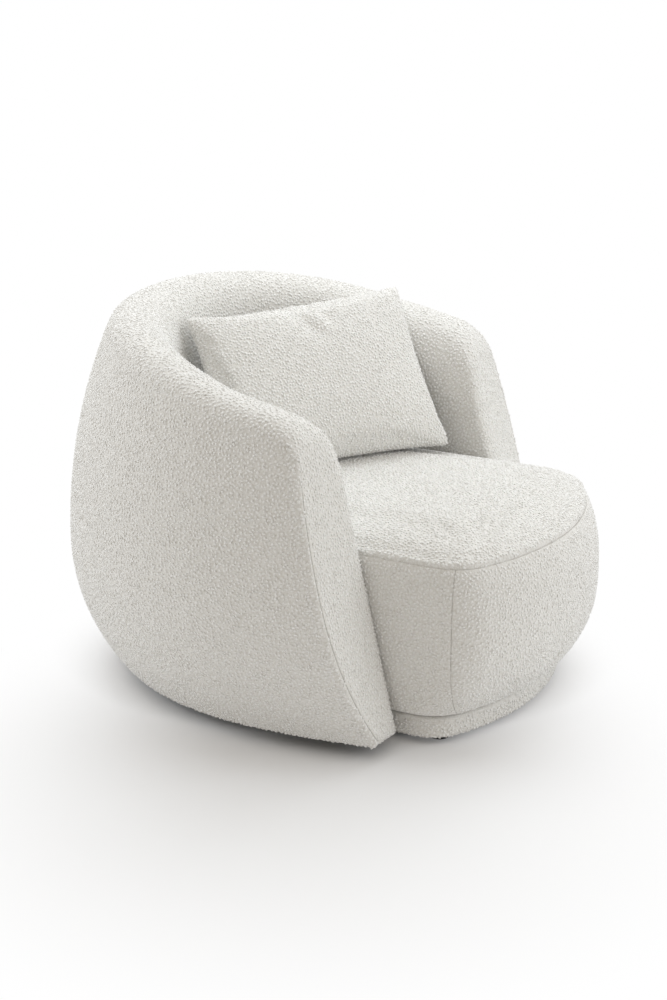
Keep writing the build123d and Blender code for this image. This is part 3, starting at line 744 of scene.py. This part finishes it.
OUTER_ROUND, INNER_ROUND = 0.009, 0.026
FRONT_SEAM = 0.011      # how far in from the outer edge the panel is sewn
FRONT_SEAM_DEPTH = 0.0034
FRONT_SEAM_SHADE = 0.6        # how dark the painted shade along its seam is
BORDER_POINTS = 4000
COLUMNS = np.array([0, 0.0004, 0.0012, 0.0025, 0.004, 0.006, 0.0078, 0.0092, 0.0101, 0.011,
                    0.0119, 0.0128, 0.0145, 0.017])     # distances in from the outer edge, close at the seam


def arm_front(name, wall, nodes):
    outer, down = wall.outside(), wall.inside(SHELL_BOTTOM)
    apex = int(np.argmax(down[:, 1]))
    left = np.concatenate([outer, down[1:apex + 1]])
    right = down[apex:][::-1]
    rows = spaced(measured(left)[-1]) / measured(left)[-1]
    starts, ends = along(left, rows * measured(left)[-1]), along(right, rows * measured(right)[-1])
    border = np.concatenate([left, right[::-1], np.linspace(right[0], left[0], 60)[1:]])
    run = measured(border)
    border = along(border, np.linspace(0, run[-1], BORDER_POINTS))

    def edge_of(spots):
        near = np.array([np.argmin(((border - spot) ** 2).sum(axis=1)) for spot in spots])
        return near, np.linalg.norm(spots - border[near], axis=1)

    width = np.linalg.norm(ends - starts, axis=1)[:, None]
    way = (ends - starts) / np.maximum(width, 1e-9)
    probe = np.linspace(0, 0.03, 61)
    probed = (starts[:, None] + way[:, None] * probe[:, None]).reshape(-1, 2)
    reach = edge_of(probed)[1].reshape(len(rows), -1)
    first = np.stack([np.interp(COLUMNS, np.maximum.accumulate(line), probe) for line in reach])
    first = np.minimum(first, COLUMNS / COLUMNS[-1] * 0.45 * width)
    rest = spaced(0.15, fine=(False, True))[1:] / 0.15
    across = np.concatenate([first, first[:, -1:] + (width - first[:, -1:]) * rest], axis=1)
    flat = starts[:, None] + way[:, None] * across[..., None]
    sewn_to = int(BORDER_POINTS * measured(outer)[-1] / run[-1])
    soft = np.where(np.arange(BORDER_POINTS) < sewn_to, OUTER_ROUND, INNER_ROUND)
    points = flat.reshape(-1, 2)
    near, gap = edge_of(points)
    gap = np.where(gap < 0.0003, 0, gap)
    share = np.clip(1 - gap / soft[near], 0, 1)
    sewn, off = np.clip(4 - 4 * near / sewn_to, 0, 1), np.abs(gap - FRONT_SEAM)
    lift = PANEL_RISE * np.sqrt(1 - share**2) - sewn * turned_in(off, SEAM_WIDTH, FRONT_SEAM_DEPTH)
    pile = (1 - sewn * (1 - np.clip((off - 0.002) / 0.0025, 0, 1))).reshape(flat.shape[:2])
    # Painted shade along the seam, with some darker thread; it goes to the sewn value.
    line = (FRONT_SEAM_SHADE * sewn * np.clip(1 - off / SEAM_SHADE_HALF_WIDTH, 0, 1)).reshape(flat.shape[:2])
    face = (wall.placed(points) + lift[:, None] * wall.ahead).reshape(*flat.shape[:2], 3)
    behind = np.stack([wall.placed(row) for row in flat[:, [-8, 8]]]) - 0.004 * wall.ahead
    panel = looped(skin(name, eased(face), eased(behind), pile, line))
    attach(panel, "chair")
    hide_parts(*nodes)


arm_front("right_arm_front", arm_ends[0], ["right_arm_front_cover", "right_arm_front_pad"])
arm_front("left_arm_front", arm_ends[1], ["left_arm_front_cover", "left_arm_front_pad"])


# Dust cloth under the shell: a bent strip of the same black felt, stapled to the base board.
# It closes the wall from below between the outer cloth and the foam.

strip = []
for wall in walls[::4]:
    low, high = wall.v(SHELL_BOTTOM + 0.0006), -wall.tuck - 0.009
    shares = np.linspace(0, 1, 9)
    spots = np.stack([high + (-wall.thick + 0.006 - high) * shares, np.full(9, low)], axis=1)
    strip.append(wall.placed(spots) - np.outer(np.sin(shares * math.pi), (0, 0, 0.0015)))
strip = np.stack(strip)
shell_felt = felt("shell_dust_cloth", strip, FELT)
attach(shell_felt, "chair")
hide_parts("shell_underside_cloth")


# Scatter cushion: two panels of the same cloth sewn edge to edge round a loose fibre filling.
# It leans in the far corner of the back with its lower edge on the seat, and lifts off.

CUSHION_HALF = (0.247, 0.18)
CUSHION_THICK = 0.124
DRAWN_IN = 0.008
BLUNT = 0.004           # how much each corner is rounded off
CORNERS = {(-1, 1): (-0.24, 0.16), (1, 1): (0.231, 0.175),
           (1, -1): (0.238, -0.173), (-1, -1): (-0.24, -0.172)}
FOLDS = [   # start, end, width and depth of each; the one below nought is a ridge
    ((-0.05, 0.165), (0.0, 0.088), 0.02, 0.0068),
    ((-0.022, 0.15), (0.018, 0.092), 0.015, -0.003),
    ((0.012, 0.155), (0.036, 0.108), 0.015, 0.0036),
]
DIP, DIP_X, DIP_WIDTH = 0.005, -0.14, 0.05      # where the top edge sinks
CUSHION_SPOT = (0.095, 0.077, 0.548)
CUSHION_YAW, CUSHION_LEAN = math.radians(-34.6), math.radians(35.9)

wide = np.sin(np.linspace(-1, 1, 81) * math.pi / 2)
tall = np.sin(np.linspace(-1, 1, 61) * math.pi / 2)
far_x, far_y = np.meshgrid(wide, tall, indexing="ij")
corner = BLUNT * (far_x * far_y) ** 12
x = far_x * (CUSHION_HALF[0] - DRAWN_IN * (1 - far_y**2) - corner)
y = far_y * (CUSHION_HALF[1] - DRAWN_IN * (1 - far_x**2) - corner)
full = ((1 - np.abs(far_x) ** 2.4) * (1 - np.abs(far_y) ** 2.4)) ** 0.55
z = 0.005 + (CUSHION_THICK / 2 - 0.012) * full
cushion = skin("scatter_cushion", np.stack([x, y, z], axis=2), np.stack([x, y, -z], axis=2)[:, ::-1], 1.0)
local = stuffed(cushion, 0.005, 4.0, 0.011, lambda co: np.zeros(len(co), bool))


def crease(points, start, end, width, depth):
    """A soft fold in the front panel between two places."""
    start, end = np.array(start), np.array(end)
    way = end - start
    share = np.clip(((points[:, :2] - start) @ way) / (way @ way), 0, 1)
    off = np.linalg.norm(points[:, :2] - start - share[:, None] * way, axis=1)
    return np.where(points[:, 2] > 0, depth * np.exp(-(off / width) ** 2), 0)


for fold in FOLDS:
    local[:, 2] -= crease(local, *fold)
pulled = np.zeros_like(local[:, :2])
for way, place in CORNERS.items():
    reached = local[np.argmax(local[:, :2] @ np.array(way)), :2]
    share = np.prod(0.5 + 0.5 * np.clip(local[:, :2] * way / CUSHION_HALF, -1, 1), axis=1)
    pulled += share[:, None] * (np.array(place) - reached)
local[:, :2] += pulled
top_edge = np.clip(local[:, 1] / CUSHION_HALF[1], 0, 1) ** 2
local[:, 1] -= DIP * top_edge * np.exp(-((local[:, 0] - DIP_X) / DIP_WIDTH) ** 2)
sideways = np.array((math.cos(CUSHION_YAW), math.sin(CUSHION_YAW), 0))
level = math.cos(CUSHION_LEAN)
facing = np.array((sideways[1] * level, -sideways[0] * level, math.sin(CUSHION_LEAN)))
upwards = np.cross(facing, sideways)
placed = local[:, :1] * sideways + local[:, 1:2] * upwards + local[:, 2:] * facing + np.array(CUSHION_SPOT)
cushion.data.vertices.foreach_set("co", placed.astype(np.float32).ravel())
cushion.data.update()
finer = cushion.modifiers.new("finer", "SUBSURF")
finer.levels = finer.render_levels = 1
bpy.context.view_layer.update()
cushion.data = bpy.data.meshes.new_from_object(cushion.evaluated_get(bpy.context.evaluated_depsgraph_get()))
cushion.modifiers.clear()
ones = np.ones(len(cushion.data.vertices), np.float32)
cushion.data.attributes.new("pile", "FLOAT", "POINT").data.foreach_set("value", ones)
looped(cushion, CLOSE_GAP)
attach(cushion, "scatter_cushion")
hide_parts("cushion_front_cover", "cushion_back_cover", "cushion_filling")


# Studio: a white floor in white surroundings, a large light overhead, smaller ones in front and behind.
# The camera stands at the near arm's side, a little above the back, as in the photograph.

AIM = Vector((0.0, 0.012, 0.35))
AZIMUTH, ELEVATION = math.radians(-63.24), math.radians(18.32)
DISTANCE = 4.00686
LENS_PIXELS = 2038.26
FRAME_WIDE, FRAME_TALL = 667.0, 1000.0
FRAME_CENTRE = (327.1, 492.49)      # where the lens looks straight ahead, in pixels
LAMP_COLOUR = (0.905, 0.955, 1.0)

camera_data = bpy.data.cameras.new("camera")
camera_data.sensor_fit = "AUTO"
camera_data.sensor_width = 36.0
camera_data.lens = LENS_PIXELS * camera_data.sensor_width / FRAME_TALL
camera_data.shift_x = (FRAME_WIDE / 2 - FRAME_CENTRE[0]) / FRAME_TALL
camera_data.shift_y = (FRAME_CENTRE[1] - FRAME_TALL / 2) / FRAME_TALL
camera = bpy.data.objects.new("camera", camera_data)
back_way = Vector((math.sin(AZIMUTH) * math.cos(ELEVATION), -math.cos(AZIMUTH) * math.cos(ELEVATION),
                   math.sin(ELEVATION)))
camera.location = AIM + back_way * DISTANCE
camera.rotation_mode = "QUATERNION"
camera.rotation_quaternion = (-back_way).to_track_quat("-Z", "Y")
scene.collection.objects.link(camera)
scene.camera = camera

scene.view_settings.view_transform = "Standard"
world = bpy.data.worlds.new("white room")
world.use_nodes = True
world.node_tree.nodes.clear()
net = Nodes(world.node_tree)


def seen(net):
    """One where the surface is looked at, straight or in a reflection, and nought where it gives light."""
    rays = net.tree.nodes.new("ShaderNodeLightPath").outputs
    straight, mirrored = Shade(net, rays["Is Camera Ray"]), Shade(net, rays["Is Glossy Ray"])
    return straight + mirrored + Shade(net, rays["Is Transmission Ray"])


lit = net.node("ShaderNodeBackground", None, {"Color": (1, 0.932, 0.835, 1), "Strength": 0.5})
shown = net.node("ShaderNodeBackground", None, {"Color": (1, 1, 1, 1), "Strength": 1.0})
both = net.node("ShaderNodeMixShader", None, {0: seen(net), 1: lit, 2: shown})
net.node("ShaderNodeOutputWorld", None, {"Surface": both})
scene.world = world

floor_mesh = bpy.data.meshes.new("floor")
floor_mesh.from_pydata([(-8, -8, 0), (8, -8, 0), (8, 8, 0), (-8, 8, 0)], [], [(0, 1, 2, 3)])
floor = bpy.data.objects.new("floor", floor_mesh)
scene.collection.objects.link(floor)
white_floor, net = new_finish("white floor")
paint = net.node("ShaderNodeBsdfDiffuse", None, {"Color": (0.88, 0.88, 0.89, 1)})
glow = net.node("ShaderNodeEmission", None, {"Color": (1, 1, 1, 1), "Strength": 1.0})
spot = net.place()


def faded(middle, start, end):
    far = net.node("ShaderNodeVectorMath", {"operation": "DISTANCE"}, {0: spot, 1: middle}, out="Value")
    return net.node("ShaderNodeMapRange", {"interpolation_type": "SMOOTHSTEP"},
                    {"Value": far, "From Min": start, "From Max": end})


# The floor glows white to the camera away from a zone round the chair: painted light that lifts its real
# shadow. The zone reaches further to the near arm's side, so more of the shadow is kept there.
under, beside = faded((0, 0, 0), 0.35, 0.6), faded((-0.5, -0.2, 0), 0.12, 0.85)
painted_glow = under.math("MINIMUM", under, beside) * seen(net)
net.node("ShaderNodeOutputMaterial", None,
         {"Surface": net.node("ShaderNodeMixShader", None, {0: painted_glow, 1: paint, 2: glow})})
floor_mesh.materials.append(white_floor)


def softbox(name, place, aim, size, power):
    lamp = bpy.data.lights.new(name, "AREA")
    lamp.shape, lamp.size, lamp.size_y, lamp.energy = "RECTANGLE", size[0], size[1], power
    lamp.color = LAMP_COLOUR
    made = bpy.data.objects.new(name, lamp)
    made.location = place
    made.rotation_mode = "QUATERNION"
    made.rotation_quaternion = (Vector(aim) - Vector(place)).to_track_quat("-Z", "Y")
    scene.collection.objects.link(made)


softbox("overhead softbox", (0.9, 0.4, 2.8), (0.0, 0.0, 0.3), (3.0, 3.0), 63.0)
softbox("front softbox", (0.9, -3.0, 1.4), (0.0, 0.0, 0.4), (2.0, 1.8), 30.0)
softbox("back softbox", (-1.3, 2.7, 1.3), (-0.2, 0.2, 0.4), (1.6, 1.6), 26.0)
